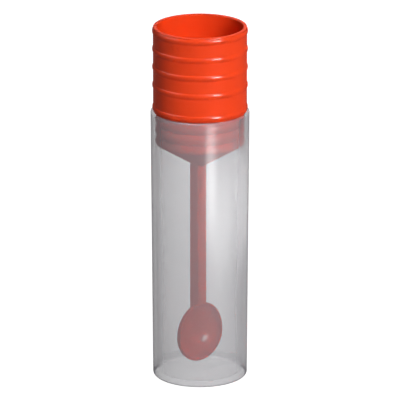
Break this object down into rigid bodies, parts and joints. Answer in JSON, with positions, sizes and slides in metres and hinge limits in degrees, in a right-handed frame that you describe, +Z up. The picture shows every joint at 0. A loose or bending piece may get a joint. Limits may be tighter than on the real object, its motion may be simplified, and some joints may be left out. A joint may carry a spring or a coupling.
{
  "type": "specimen collection tube with spoon stopper",
  "caption": "Translucent tapered specimen tube, flat-bottomed, closed by a hollow beaded push-in stopper that carries a small sampling spoon.",
  "frame": {"origin": "centre of the tube's flat underside", "axes": "+Z up the tube's axis, towards the stopper; +X across the spoon; the spoon's hollow opens towards -Y"},
  "size_m": [0.025, 0.025, 0.0922],
  "materials": {
    "tube_plastic": "smooth translucent moulded polypropylene, uncoloured",
    "stopper_plastic": "smooth opaque orange-red moulded polyethylene"
  },
  "bodies": {
    "tube": {"tube": "tube_plastic"},
    "stopper": {"spoon_stopper": "stopper_plastic"}
  },
  "joints": [
    {"name": "stopper_pull", "type": "slide", "parent": "tube", "child": "stopper", "axis": [0, 0, 1], "range_m": [0, 0.072]}
  ]
}
